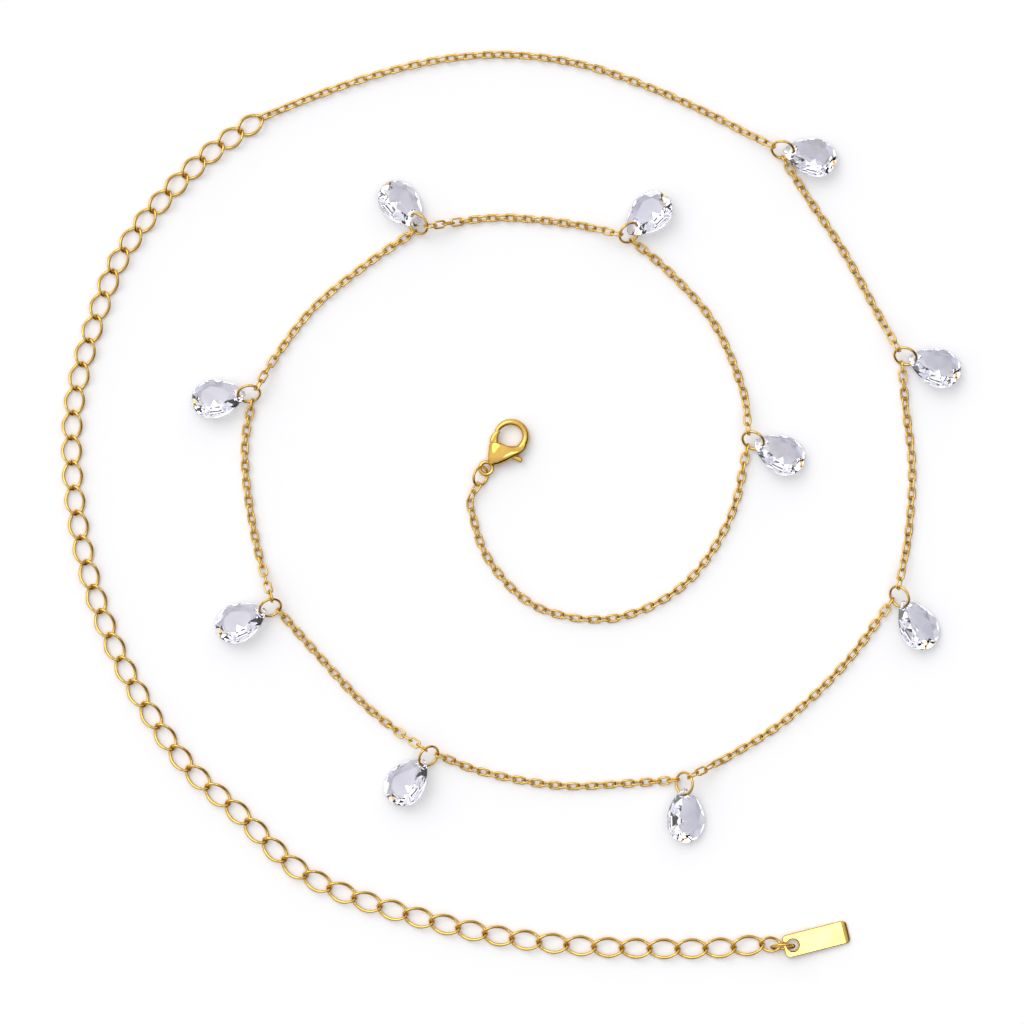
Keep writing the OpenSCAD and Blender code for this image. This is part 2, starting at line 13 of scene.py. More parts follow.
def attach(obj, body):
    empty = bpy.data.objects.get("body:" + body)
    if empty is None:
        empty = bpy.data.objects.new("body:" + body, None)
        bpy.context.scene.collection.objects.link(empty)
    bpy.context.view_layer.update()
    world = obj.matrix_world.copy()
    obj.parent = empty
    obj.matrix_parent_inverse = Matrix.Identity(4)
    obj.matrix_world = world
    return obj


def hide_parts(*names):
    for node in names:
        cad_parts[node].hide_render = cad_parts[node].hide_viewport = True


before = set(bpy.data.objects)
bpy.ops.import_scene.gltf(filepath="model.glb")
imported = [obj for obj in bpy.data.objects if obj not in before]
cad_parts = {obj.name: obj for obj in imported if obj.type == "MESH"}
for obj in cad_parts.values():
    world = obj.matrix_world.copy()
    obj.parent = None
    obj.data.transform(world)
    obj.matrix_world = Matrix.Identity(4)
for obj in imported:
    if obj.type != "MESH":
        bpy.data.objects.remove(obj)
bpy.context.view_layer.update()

bl_info = {
    "name": "Waist Chain",
    "version": (1, 0, 0),
    "blender": (4, 5, 0),
    "location": "View3D > Sidebar > Waist Chain",
    "description": "Builds the links, rings, cut drops, clasp and tag of a laid waist chain",
    "category": "Add Mesh",
}

MM = 0.001
CHAIN = "chain"
LEVER = "clasp_lever"
DROPS = 10
UP = Vector((0, 0, 1))

# The route's chosen points on the surface, in millimetres, as in the part's source. A row with five
# values is a drop's ring: x, y, heading of the drop, the side of it on which the ring stands high, and
# its share of the hole's distance from the tip.
CHAIN_ROUTE = [
    (-8.9, 2.2), (-9.1, -1.5), (-5, -13), (6, -23.5), (23, -26), (39, -18.5), (49.5, -3.5),
    (54.8, 14.4, -26, 1, 1.3), (52.5, 26), (46, 41), (36, 52.5),
    (26.7, 61.5, 44, 1, 1.7), (14, 63.5), (-3, 65),
    (-21.2, 63.5, 130, -1, 1.8), (-33.5, 54), (-45, 44.5), (-53.5, 33.5),
    (-59.5, 25, 188, -1, 1), (-60.5, 14), (-60, 3), (-57.5, -11),
    (-54.7, -23.5, 205, -1, 0.85), (-46, -32), (-34.5, -44.5), (-26, -51.5),
    (-18.8, -57.2, 230, -1, 0.8), (-6, -61), (11, -64), (26, -63.5),
    (39.2, -63.4, 272, 1, 0.85), (50, -57), (63, -48.5), (76, -36),
    (88, -21, 302, 1, 0.8), (90, -8), (91, 8), (89.5, 22),
    (89.3, 33.5, 341, 1, 1), (82.5, 44.5), (75, 58), (67, 70),
    (61.5, 80.3, 347, 1, 1.4), (43, 89.5), (29, 95.5), (15, 100), (-0.5, 102), (-15.5, 101),
    (-30.5, 97.5), (-45, 92.5),
]
EXT_ROUTE = [
    (-57, 87.5), (-68, 80), (-78, 70.5), (-86, 60.5), (-92, 49), (-99.5, 21.5), (-98, -7),
    (-89.5, -34), (-75, -58), (-62, -70), (-50, -82), (-38, -88.5), (-19, -94.5), (-0.5, -98.5),
    (18, -100.5), (37, -101), (50, -100.7), (57, -99.9), (70, -101),
]


def laid(p):
    """A chosen point, shifted so that the lay's middle is at the origin."""
    return Vector((p[0] + 0.17, p[1] + 0.26, 0))


EYE_PLACE = laid((-5.75, 8.1))
SPLINE_STEPS = 6
PIECE_GAP = 0.1
# Radius of a fine link's corners along the middle of its wire
LINK_CORNER = 0.62
# The fine links are drawn a little thinner than link_wire, so that every end link stays clear of its ring
DRAWN_WIRE = 0.92
# Distance of a drop's widest part from its tip, as a share of its length
DROP_CENTRE = 0.61
INNER_STRETCHES = 5


def size_prop(name, description, default_mm):
    """A length that a user would change."""
    return bpy.props.FloatProperty(
        name=name, description=description, default=default_mm * MM, min=0, precision=5,
        unit="LENGTH", subtype="DISTANCE")


def angle_prop(name, description, degrees):
    return bpy.props.FloatProperty(
        name=name, description=description, default=math.radians(degrees), unit="ROTATION", subtype="ANGLE")


def linear(code):
    """Linear red, green, blue and alpha of an sRGB hex colour."""
    def channel(v):
        return v / 12.92 if v <= 0.04045 else ((v + 0.055) / 1.055) ** 2.4
    return [channel(int(code[i:i + 2], 16) / 255) for i in (1, 3, 5)] + [1]


def colour_prop(name, description, code):
    return bpy.props.FloatVectorProperty(
        name=name, description=description, default=linear(code)[:3], size=3, min=0, max=1, subtype="COLOR")


class ChainSizes(bpy.types.PropertyGroup):
    """Sizes of the links and rings"""

    link_len: size_prop("Fine link length", "Outside length of a fine link", 3.15)
    link_w: size_prop("Fine link width", "Outside width of a fine link", 2.1)
    link_wire: size_prop("Fine link wire", "Wire of a fine link", 0.5)
    link_roll: angle_prop("Fine link roll", "How far the lying links are rolled from flat", 30)
    ring_od: size_prop("Drop ring", "Outside diameter of a drop's jump ring", 5.6)
    ring_wire: size_prop("Drop ring wire", "Wire of a drop's jump ring", 0.58)
    ring_tilt: angle_prop("Drop ring tilt", "Tilt of a drop's jump ring from the surface", 44)
    ext_count: bpy.props.IntProperty(
        name="Extender links", description="Number of extender links", default=53, min=2)
    ext_first_len: size_prop("First extender link", "Outside length of the first extender link", 6.85)
    ext_last_len: size_prop("Last extender link", "Outside length of the last extender link", 7.9)
    ext_w: size_prop("Extender link width", "Outside width of an extender link", 4.8)
    ext_wire: size_prop("Extender wire", "Wire of an extender link", 0.7)
    ext_twist: angle_prop("Extender twist", "Twist at each end of an extender link", 40)


class DropSizes(bpy.types.PropertyGroup):
    """Sizes of the cut drops"""

    length: size_prop("Length", "Length of a drop from tip to round end", 12.3)
    width: size_prop("Width", "Widest part of a drop", 9)
    crown: size_prop("Crown", "Height from girdle to table", 1.3)
    girdle: size_prop("Girdle", "Thickness of the girdle band", 0.35)
    pavilion: size_prop("Pavilion", "Depth from girdle to culet", 2.4)
    hole: size_prop("Hole", "Drilled hole through a drop", 1.7)
    hole_inset: size_prop("Hole inset", "Hole centre from the drop's tip", 1.7)
    roll: angle_prop("Roll", "Roll of a lying drop about its own length", 18)


class ClaspSizes(bpy.types.PropertyGroup):
    """Sizes of the clasp and the tag"""

    length: size_prop("Clasp length", "From the middle of the eye to the top of the hook", 13.2)
    hook_od: size_prop("Hook", "Outside diameter of the hook", 8.1)
    hook_wire: size_prop("Hook wire", "Wire of the hook", 1.45)
    thickness: size_prop("Body thickness", "Thickness of the clasp's body", 3)
    eye_od: size_prop("Eye", "Outside diameter of the clasp's eye", 3.66)
    eye_wire: size_prop("Eye wire", "Wire of the clasp's eye", 0.84)
    lever_t: size_prop("Lever thickness", "Thickness of the lever in its slot", 1.2)
    nose_t: size_prop("Nose thickness", "Thickness of the lever's nose", 1.9)
    pin_d: size_prop("Pin", "Diameter of the lever's pin", 0.8)
    ring_od: size_prop("Clasp ring", "Outside diameter of the clasp's jump ring", 5)
    ring_wire: size_prop("Clasp ring wire", "Wire of the clasp's jump ring", 0.62)
    heading: angle_prop("Heading", "Direction that the clasp points to", 54)
    tag_len: size_prop("Tag length", "Length of the tag", 15.2)
    tag_w: size_prop("Tag width", "Width of the tag", 5.2)
    tag_t: size_prop("Tag thickness", "Thickness of the tag", 0.9)
    tag_corner: size_prop("Tag corner", "Corner radius of the tag", 1.1)
    tag_hole: size_prop("Tag hole", "Hole in the tag", 2.9)
    tag_bridge: size_prop("Tag bridge", "Metal between the tag's hole and its end", 0.65)
    tag_heading: angle_prop("Tag heading", "Heading of the tag on the surface", 14)
    tag_link_len: size_prop("Tag link length", "Outside length of the small link before the tag", 5.4)
    tag_link_w: size_prop("Tag link width", "Outside width of that link", 3.8)
    tag_link_wire: size_prop("Tag link wire", "Wire of that link", 0.65)
    tag_ring_od: size_prop("Tag ring", "Outside diameter of the tag's jump ring", 5.8)
    tag_ring_wire: size_prop("Tag ring wire", "Wire of the tag's jump ring", 0.6)


class Finishes(bpy.types.PropertyGroup):
    """Colours of the metal and the stones"""

    gold: colour_prop("Gold plate", "Colour of the polished gold plate", "#E6BF63")
    gold_deep: colour_prop("Gold plate, deep", "Colour where the plate is thicker", "#DAB052")
    crystal: colour_prop("Crystal", "Tint of the clear crystal", "#EDECFF")


def in_mm(group):
    """A property group's lengths in millimetres and its other values as they are."""
    out = {}
    for name, prop in group.bl_rna.properties.items():
        if name not in {"rna_type", "name"}:
            value = getattr(group, name)
            out[name] = value / MM if prop.unit == "LENGTH" else value
    return SimpleNamespace(**out)


# Directions, curves and frames


def flat(angle):
    return Vector((math.cos(angle), math.sin(angle), 0))


def across(v, w):
    """v made square to the unit vector w."""
    return (v - v.dot(w) * w).normalized()


def fade(t):
    t = min(max(t, 0), 1)
    return 1 - t * t * (3 - 2 * t)


def frame_at(at, x, z):
    """A frame at a point with the given X and Z directions."""
    y = z.cross(x)
    return Matrix(((x.x, y.x, z.x, at.x), (x.y, y.y, z.y, at.y), (x.z, y.z, z.z, at.z), (0, 0, 0, 1)))


class Route:
    """A smooth curve through points on the surface, walked by its length."""

    def __init__(self, points, run_on=0):
        pts = [Vector((p[0], p[1], 0)) for p in points]
        self.line = []
        for i in range(len(pts) - 1):
            p, q = pts[i], pts[i + 1]
            a = (q - pts[i - 1]) / 2 if i else q - p
            b = (pts[i + 2] - p) / 2 if i < len(pts) - 2 else q - p
            for j in range(SPLINE_STEPS):
                t = j / SPLINE_STEPS
                self.line.append(
                    p * (2 * t**3 - 3 * t * t + 1) + a * (t**3 - 2 * t * t + t)
                    + q * (3 * t * t - 2 * t**3) + b * (t**3 - t * t))
        self.line.append(pts[-1])
        if run_on:
            self.line.append(pts[-1] + run_on * (pts[-1] - pts[-2]).normalized())
        self.run = [0]
        for p, q in zip(self.line, self.line[1:]):
            self.run.append(self.run[-1] + (q - p).length)
        self.length = self.run[-1]

    def at(self, s):
        s = min(max(s, 0), self.length)
        for i in range(len(self.run) - 1):
            if s <= self.run[i + 1]:
                t = (s - self.run[i]) / (self.run[i + 1] - self.run[i])
                return self.line[i].lerp(self.line[i + 1], t)
        return self.line[-1].copy()


class DropRing:
    """Where a drop's jump ring stands. Angles run round it from the side away from its drop."""

    def __init__(self, row, s):
        self.heading = math.radians(row[2])
        self.side_sign = row[3]
        self.r = (s.ring_od - s.ring_wire) / 2
        z = s.link_wire + 2 * PIECE_GAP + s.ring_wire / 2 + self.r * math.sin(s.ring_tilt)
        self.hole_share = row[4]
        self.middle = laid(row) + z * UP
        self.top = -flat(self.heading)
        self.side = row[3] * flat(self.heading + math.pi / 2)
        self.rise = math.cos(s.ring_tilt) * self.side + math.sin(s.ring_tilt) * UP

    def point(self, a):
        return self.middle + self.r * (math.cos(a) * self.top + math.sin(a) * self.rise)

    def tangent(self, a):
        return math.cos(a) * self.rise - math.sin(a) * self.top

    def grip(self, toward, wire):
        """The point and direction of the wire that a stretch grips, and the wire's size."""
        d = Vector((toward[0], toward[1], 0)) - Vector((self.middle.x, self.middle.y, 0))
        a = 0.8 * math.atan2(d.dot(self.side), d.dot(self.top))
        a = min(max(a, math.radians(-105)), math.radians(75))
        return self.point(a), self.tangent(a), wire


def drop_rings(s):
    return [DropRing(row, s) for row in CHAIN_ROUTE if len(row) > 2]


def clasp_ring_frame(c):
    """The clasp ring's middle, radius, top and rise."""
    r = (c.ring_od - c.ring_wire) / 2
    tilt, heading, left = math.radians(47), math.radians(73), 0.3
    top = flat(heading)
    rise = math.cos(tilt) * flat(heading + math.pi / 2) + math.sin(tilt) * UP
    z = r * math.sin(tilt) + c.ring_wire / 2
    a = math.asin((c.thickness / 2 - z) / (r * math.sin(tilt)))
    place = EYE_PLACE + left * flat(heading + math.pi / 2) - r * (math.cos(a) * top + math.sin(a) * rise)
    return Vector((place.x, place.y, z)), r, top, rise


def loop_pitch(length, wire):
    return length - 2 * wire - PIECE_GAP


class Extender:
    """The extender's route and where its links take it up."""

    def __init__(self, s):
        self.s = s
        self.route = Route([laid(p) for p in EXT_ROUTE], run_on=8 * s.ext_last_len)
        self.growth = (s.ext_last_len - s.ext_first_len) / (s.ext_count - 1)
        self.first = loop_pitch(s.ext_first_len, s.ext_wire)
        # Height at which the twisted ends rest on the surface
        self.z = 1.098

    def link_len(self, i):
        return self.s.ext_first_len + self.growth * i

    def joint(self, i):
        return i * self.first + self.growth * i * (i - 1) / 2

    def place(self, s):
        p = self.route.at(s)
        p.z = self.z
        return p

    def link_frame(self, start, end):
        a, b = self.place(start), self.place(end)
        return frame_at((a + b) / 2, (b - a).normalized(), UP)


# Meshes


def rounded(bm):
    for face in bm.faces:
        face.smooth = True


def verts_in(geom):
    return [e for e in geom if isinstance(e, bmesh.types.BMVert)]


def wire_loop(segments, sides, wire, centreline):
    """A closed wire loop round Z: a spun circle, moved onto the centreline, which gives a point and its
    outward direction for each angle."""
    bm = bmesh.new()
    bmesh.ops.create_circle(bm, segments=sides, radius=wire / 2,
                            matrix=Matrix.Translation((1, 0, 0)) @ Matrix.Rotation(math.pi / 2, 4, "X"))
    bmesh.ops.rotate(bm, verts=bm.verts, cent=(0, 0, 0), matrix=Matrix.Rotation(math.pi / segments, 3, "Z"))
    bmesh.ops.spin(bm, geom=bm.edges[:], cent=(0, 0, 0), axis=UP, angle=2 * math.pi, steps=segments,
                   use_merge=True, use_duplicate=False)
    bmesh.ops.remove_doubles(bm, verts=bm.verts, dist=wire / 1000)
    for v in bm.verts:
        a = math.atan2(v.co.y, v.co.x)
        out = math.hypot(v.co.x, v.co.y) - 1
        place, outward = centreline(a)
        v.co = place + out * outward + v.co.z * UP
    bmesh.ops.recalc_face_normals(bm, faces=bm.faces)
    rounded(bm)
    return bm


def ring_loop(od, wire, segments=56, sides=14):
    r = (od - wire) / 2
    return wire_loop(segments, sides, wire, lambda a: (r * flat(a), flat(a)))


def oval_loop(length, width, wire, segments, sides, twist):
    """An oval link whose ends turn about its length by the twist."""
    half_l, half_w = (length - wire) / 2, (width - wire) / 2

    def centreline(a):
        outward = Vector((half_w * math.cos(a), half_l * math.sin(a), 0)).normalized()
        return Vector((half_l * math.cos(a), half_w * math.sin(a), 0)), outward

    bm = wire_loop(segments, sides, wire, centreline)
    for v in bm.verts:
        v.co = Matrix.Rotation(-twist * v.co.x / half_l, 3, "X") @ v.co
    return bm


def square_loop(length, width, wire, corner, segments, sides):
    """A straight-sided link with round corners of the given centreline radius."""
    half_l, half_w = (length - wire) / 2 - corner, (width - wire) / 2 - corner

    def centreline(a):
        place = corner * flat(a)
        place.x += math.copysign(half_l, place.x)
        place.y += math.copysign(half_w, place.y)
        return place, flat(a)

    return wire_loop(segments, sides, wire, centreline)


def as_mesh(bm, name):
    mesh = bpy.data.meshes.new(name)
    bm.to_mesh(mesh)
    bm.free()
    return mesh


def strewn(shape, frames, name):
    """One mesh of copies of a shape at the given frames."""
    total = bmesh.new()
    base = as_mesh(shape, name + "_base")
    for matrix in frames:
        copy = base.copy()
        copy.transform(matrix)
        total.from_mesh(copy)
        bpy.data.meshes.remove(copy)
    bpy.data.meshes.remove(base)
    return total


def add_object(name, bm):
    """A mesh in millimetres as an object in metres."""
    bmesh.ops.scale(bm, vec=(MM, MM, MM), verts=bm.verts)
    ob = bpy.data.objects.new(name, as_mesh(bm, name))
    bpy.context.scene.collection.objects.link(ob)
    return ob


def piece(name, bm, material, nodes, body=CHAIN, cutters=()):
    """A finished piece that replaces CAD nodes and moves with a body."""
    ob = add_object(name, bm)
    if cutters:
        carve(ob, [add_object(f"{name}_cutter", cutter) for cutter in cutters])
    ob.data.materials.clear()
    ob.data.materials.append(material)
    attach(ob, body)
    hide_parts(*nodes)
    return ob


def carve(ob, cutters):
    for cutter in cutters:
        cut = ob.modifiers.new("cut", "BOOLEAN")
        cut.operation, cut.solver, cut.object, cut.use_self = "DIFFERENCE", "EXACT", cutter, True
    old = ob.data
    ob.data = bpy.data.meshes.new_from_object(ob.evaluated_get(bpy.context.evaluated_depsgraph_get()))
    ob.modifiers.clear()
    bpy.data.meshes.remove(old)
    for cutter in cutters:
        bpy.data.meshes.remove(cutter.data)


def smooth_flats(ob):
    """Smooth shading that keeps large faces flat and edges sharp."""
    for polygon in ob.data.polygons:
        polygon.use_smooth = True
    ob.data.set_sharp_from_angle(angle=math.radians(38))
    weighted = ob.modifiers.new("weighted_normals", "WEIGHTED_NORMAL")
    weighted.keep_sharp = True


def prism(outline, low, high):
    """A straight-sided solid over an outline, given anticlockwise."""
    bm = bmesh.new()
    face = bm.faces.new([bm.verts.new((p[0], p[1], low)) for p in outline])
    top = bmesh.ops.extrude_face_region(bm, geom=[face])["geom"]
    bmesh.ops.translate(bm, vec=(0, 0, high - low), verts=verts_in(top))
    bmesh.ops.recalc_face_normals(bm, faces=bm.faces)
    return bm


def disc(at, r, low, high, segments=40):
    middle = Vector((at[0], at[1], 0))
    return prism([middle + r * flat(2 * math.pi * i / segments) for i in range(segments)], low, high)


def merged(*parts):
    total = bmesh.new()
    for bm in parts:
        mesh = as_mesh(bm, "part")
        total.from_mesh(mesh)
        bpy.data.meshes.remove(mesh)
    return total


def place_in(bm, matrix):
    bmesh.ops.transform(bm, matrix=matrix, verts=bm.verts)
    return bm


# Materials


def add_node(tree, kind, settings=(), **links):
    """A node with its settings, whose named inputs take a value or another node's output."""
    node = tree.nodes.new(kind)
    for name, value in dict(settings).items():
        setattr(node, name, value)
    for name, value in links.items():
        numbered = name[0] == "_" and name[1:].isdigit()
        socket = node.inputs[int(name[1:]) if numbered else name.replace("_", " ")]
        if isinstance(value, bpy.types.NodeSocket):
            tree.links.new(value, socket)
        else:
            socket.default_value = value
    return node


def new_material(name):
    material = bpy.data.materials.new(name)
    material.use_nodes = True
    tree = material.node_tree
    tree.nodes.clear()
    shader = add_node(tree, "ShaderNodeBsdfPrincipled")
    add_node(tree, "ShaderNodeOutputMaterial", Surface=shader.outputs["BSDF"])
    return material, tree, shader


def gold_plate(colours):
    """Gold-plated brass, barrel polished: a warm mirror with faint waves and slightly duller patches."""
    material, tree, shader = new_material("polished_gold_plate")
    coords = add_node(tree, "ShaderNodeTexCoord").outputs["Object"]
    # Plating varies over about 3 mm, and the polishing marks are about 0.4 mm
    patches = add_node(tree, "ShaderNodeTexNoise", Vector=coords, Scale=1 / (3 * MM), Detail=2.0)
    marks = add_node(tree, "ShaderNodeTexNoise", Vector=coords, Scale=1 / (0.4 * MM), Detail=3.0)
    ramp = add_node(tree, "ShaderNodeMapRange", Value=patches.outputs["Fac"], From_Min=0.35, From_Max=0.65)
    mix = add_node(tree, "ShaderNodeMix", {"data_type": "RGBA"}, _0=ramp.outputs["Result"])
    mix.inputs[6].default_value = (*colours.gold_deep, 1)
    mix.inputs[7].default_value = (*colours.gold, 1)
    tree.links.new(mix.outputs[2], shader.inputs["Base Color"])
    rough = add_node(tree, "ShaderNodeMapRange", Value=marks.outputs["Fac"], To_Min=0.07, To_Max=0.16)
    tree.links.new(rough.outputs["Result"], shader.inputs["Roughness"])
    bump = add_node(tree, "ShaderNodeBump", Strength=0.06, Distance=0.02 * MM, Height=marks.outputs["Fac"])
    tree.links.new(bump.outputs["Normal"], shader.inputs["Normal"])
    shader.inputs["Metallic"].default_value = 1
    # Painted shade: a dark brown edge tint on the metal makes the rim of each wire, where it turns away, darker
    # and browner
    shader.inputs["Specular Tint"].default_value = linear("#8F5A1C")
    # The thin clear lacquer that keeps the plating bright
    shader.inputs["Coat Weight"].default_value = 0.15
    shader.inputs["Coat Roughness"].default_value = 0.05
    return material


def cut_crystal(colours):
    """Machine-cut crystal glass, polished: clear, with a faint cold tint that varies inside."""
    material, tree, shader = new_material("cut_crystal_glass")
    coords = add_node(tree, "ShaderNodeTexCoord").outputs["Object"]
    cloud = add_node(tree, "ShaderNodeTexNoise", Vector=coords, Scale=1 / (5 * MM), Detail=1.0)
    mix = add_node(tree, "ShaderNodeMix", {"data_type": "RGBA"}, _0=cloud.outputs["Fac"])
    mix.inputs[6].default_value = (1, 1, 1, 1)
    mix.inputs[7].default_value = (*colours.crystal, 1)
    tree.links.new(mix.outputs[2], shader.inputs["Base Color"])
    scratches = add_node(tree, "ShaderNodeTexNoise", Vector=coords, Scale=1 / (0.5 * MM))
    rough = add_node(tree, "ShaderNodeMapRange", Value=scratches.outputs["Fac"], To_Min=0.0, To_Max=0.03)
    tree.links.new(rough.outputs["Result"], shader.inputs["Roughness"])
    shader.inputs["Transmission Weight"].default_value = 1
    shader.inputs["IOR"].default_value = 1.68
    # The hard clear coat of coated crystal
    shader.inputs["Coat Weight"].default_value = 0.5
    shader.inputs["Coat IOR"].default_value = 1.5
    shader.inputs["Coat Roughness"].default_value = 0
    return material


def material_for(name, make):
    return bpy.data.materials.get(name) or make(bpy.context.scene.waist_chain_finishes)


def gold():
    return material_for("polished_gold_plate", gold_plate)


def crystal():
    return material_for("cut_crystal_glass", cut_crystal)


class ChainOperator:
    bl_options = {"REGISTER", "UNDO"}

    def execute(self, context):
        self.build(in_mm(context.scene.waist_chain), in_mm(context.scene.waist_chain_drops),
                   in_mm(context.scene.waist_chain_clasp))
        return {"FINISHED"}


# Fine chain


def grip_reach(s, end, along):
    """Distance from a gripped wire to the middle of the link round it."""
    wire = end[2] / end[1].cross(along).length
    return s.link_len / 2 - s.link_wire - wire / 2 - PIECE_GAP / 2


def roll_of(normal, along):
    """Roll of a link about its length from lying flat."""
    left = UP.cross(along).normalized()
    up = along.cross(left)
    return math.atan2(normal.dot(-left), normal.dot(up))


def nearest(angle, target, step):
    """The angle, moved by whole steps to be nearest to the target."""
    return angle + step * round((target - angle) / step)


def stretch_frames(s, start, end, between, rng):
    """Frames of the interlocked links of a stretch between two gripped wires."""
    a, b = start[0], end[0]
    route = Route([a] + between + [b])
    lift_len = 9
    roll = s.link_roll
    pitch_max = s.link_len - 2 * s.link_wire - 0.01
    reach_a = grip_reach(s, start, (route.at(1) - route.at(0)).normalized())
    reach_b = grip_reach(s, end, (route.at(route.length) - route.at(route.length - 1)).normalized())
    # A route that climbs to its ends is a little longer than its plan
    climb = sum(0.6 * max(p.z - 1, 0) ** 2 / lift_len for p in (a, b))
    n = math.ceil((route.length + climb - reach_a - reach_b) / pitch_max) + 1
    spots = [reach_a + (route.length - reach_a - reach_b) * j / (n - 1) for j in range(n)]

    along_a = (route.at(1) - route.at(0)).normalized()
    along_b = (route.at(route.length) - route.at(route.length - 1)).normalized()
    roll_a = roll_of(across(start[1], along_a), along_a)
    roll_b = roll_of(across(end[1], along_b), along_b) - (n - 1) * math.pi / 2
    middle = nearest(roll, roll_a, math.pi / 2)
    roll_b = nearest(roll_b, middle, math.pi)
    rolls = []
    for j in range(n):
        wa, wb = fade(j / 6), fade((n - 1 - j) / 6)
        base = (middle + (roll_a - middle) * wa + (roll_b - middle) * wb
                + rng.uniform(-0.1, 0.1) * (1 - wa) * (1 - wb))
        rolls.append(base + j * math.pi / 2)
    rest = [s.link_wire / 2 + (s.link_w - s.link_wire) / 2 * abs(math.sin(r)) + 0.02 for r in rolls]
    rest = [max(z, (rest[max(j - 1, 0)] + rest[min(j + 1, n - 1)]) / 2 - 0.2) for j, z in enumerate(rest)]
    low = 0.75
    places = []
    for j, at in enumerate(spots):
        p = route.at(at)
        lift = (max(a.z - low, 0) * fade(at / lift_len)
                + max(b.z - low, 0) * fade((route.length - at) / lift_len))
        p.z = max(rest[j], low + lift)
        places.append(p)
    frames = []
    for j, p in enumerate(places):
        before = places[j - 1] if j else Vector((a.x, a.y, max(a.z, rest[0])))
        after = places[j + 1] if j < n - 1 else Vector((b.x, b.y, max(b.z, rest[-1])))
        x = (after - before).normalized()
        left = UP.cross(x).normalized()
        z = Matrix.Rotation(rolls[j], 3, x) @ x.cross(left)
        frames.append(frame_at(p, x, z))
    return frames


def chain_stretches(s, c):
    """The gripped wires at the two ends of each stretch, and the route's points between them."""
    rings = drop_rings(s)
    marks = [i for i, row in enumerate(CHAIN_ROUTE) if len(row) > 2]
    middle, r, top, rise = clasp_ring_frame(c)
    a = math.radians(-175)
    clasp_end = (middle + r * (math.cos(a) * top + math.sin(a) * rise), math.cos(a) * rise - math.sin(a) * top,
                 c.ring_wire)
    ext = Extender(s)
    along = (ext.place(ext.joint(1)) - ext.place(0)).normalized()
    ext_end = (ext.place(0) - (s.ext_wire + PIECE_GAP) / 2 * along,
               math.cos(s.ext_twist) * UP.cross(along) + math.sin(s.ext_twist) * UP, s.ext_wire)
    out = []
    for k in range(DROPS + 1):
        first = marks[k - 1] + 1 if k else 0
        last = marks[k] if k < DROPS else len(CHAIN_ROUTE)
        between = [laid(p) for p in CHAIN_ROUTE[first:last]]
        start = rings[k - 1].grip(between[0], s.ring_wire) if k else clasp_end
        end = rings[k].grip(between[-1], s.ring_wire) if k < DROPS else ext_end
        out.append((start, end, between))
    return out


class WAISTCHAIN_OT_fine_chain(ChainOperator, bpy.types.Operator):
    """Fine cable chain: interlocked straight-sided links from the clasp's ring to the extender"""

    bl_idname = "waist_chain.fine_chain"
    bl_label = "Fine Chain"

    def build(self, s, d, c):
        rng = random.Random(7)
        stretches = [stretch_frames(s, *stretch, rng) for stretch in chain_stretches(s, c)]
        for name, node, part in (("fine_links_inner", "fine_chain_inner", stretches[:INNER_STRETCHES]),
                                 ("fine_links_outer", "fine_chain_outer", stretches[INNER_STRETCHES:])):
            shape = square_loop(s.link_len, s.link_w, DRAWN_WIRE * s.link_wire, LINK_CORNER, 12, 6)
            frames = [matrix for frames in part for matrix in frames]
            piece(name, strewn(shape, frames, name), gold(), [node])


class WAISTCHAIN_OT_rings(ChainOperator, bpy.types.Operator):
    """Jump rings of the drops and of the clasp"""

    bl_idname = "waist_chain.rings"
    bl_label = "Jump Rings"

    def build(self, s, d, c):
        for k, ring in enumerate(drop_rings(s)):
            matrix = frame_at(ring.middle, ring.top, ring.top.cross(ring.rise))
            name = f"drop_ring_{k + 1:02d}"
            piece(f"jump_ring_{k + 1:02d}", place_in(ring_loop(s.ring_od, s.ring_wire), matrix), gold(),
                  [name])
        middle, _, top, rise = clasp_ring_frame(c)
        matrix = frame_at(middle, top, top.cross(rise))
        piece("clasp_jump_ring", place_in(ring_loop(c.ring_od, c.ring_wire), matrix), gold(),
              ["clasp_ring"])


# Drops


def pear_outline(d, count):
    def swell(a):
        return math.sin(a) * abs(math.sin(a / 2)) ** 0.55

    peak = max(swell(math.radians(a)) for a in range(90, 121))
    return [Vector((d.length * (1 - math.cos(a)) / 2, -d.width / 2 * swell(a) / peak, 0))
            for a in (2 * math.pi * i / count for i in range(count))]


def facet(bm, point, normal):
    """Grinds one flat facet: cuts off what lies outside the plane and closes the cut."""
    cut = bmesh.ops.bisect_plane(bm, geom=bm.verts[:] + bm.edges[:] + bm.faces[:], dist=1e-5,
                                 plane_co=point, plane_no=normal, clear_outer=True)
    edges = [e for e in cut["geom_cut"] if isinstance(e, bmesh.types.BMEdge) and e.is_boundary]
    if edges:
        bmesh.ops.contextual_create(bm, geom=edges)


